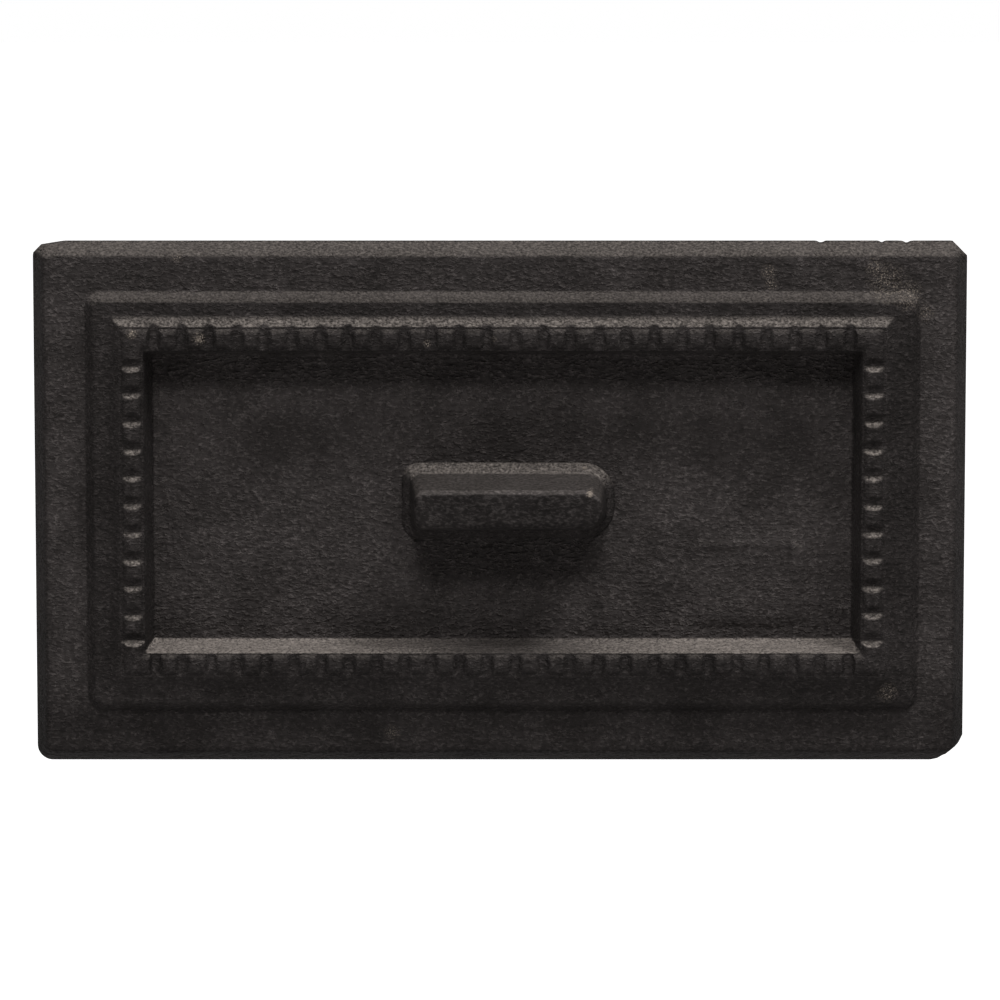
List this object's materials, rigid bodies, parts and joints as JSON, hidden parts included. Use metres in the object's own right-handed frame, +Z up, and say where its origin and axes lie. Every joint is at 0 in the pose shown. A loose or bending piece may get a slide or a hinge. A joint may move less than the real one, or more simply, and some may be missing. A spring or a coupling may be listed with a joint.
{
  "type": "soot door",
  "caption": "Cast-iron soot door: a pull-out lid with a notched moulding, recessed panel and bar handle, held by leaf springs in a walled-in sleeve frame.",
  "frame": {"origin": "centre of the sleeve in the plane of the wall, on the back face of the frame's flange", "axes": "+X to the right seen from the front, +Y into the wall along the sleeve, +Z up; the front faces -Y"},
  "size_m": [0.155, 0.0617, 0.0874],
  "materials": {
    "lid_iron": "blacked sand casting, worn",
    "frame_iron": "raw sand casting",
    "spring_steel": "dull blued spring steel",
    "rivet_steel": "dull"
  },
  "bodies": {
    "frame_body": {"frame": "frame_iron"},
    "lid_body": {"lid": "lid_iron", "spring_left": "spring_steel", "spring_right": "spring_steel", "spring_rivets": "rivet_steel"}
  },
  "joints": [
    {"name": "lid_pull", "type": "slide", "parent": "frame_body", "child": "lid_body", "axis": [0, -1, 0], "range_m": [0, 0.06]}
  ]
}
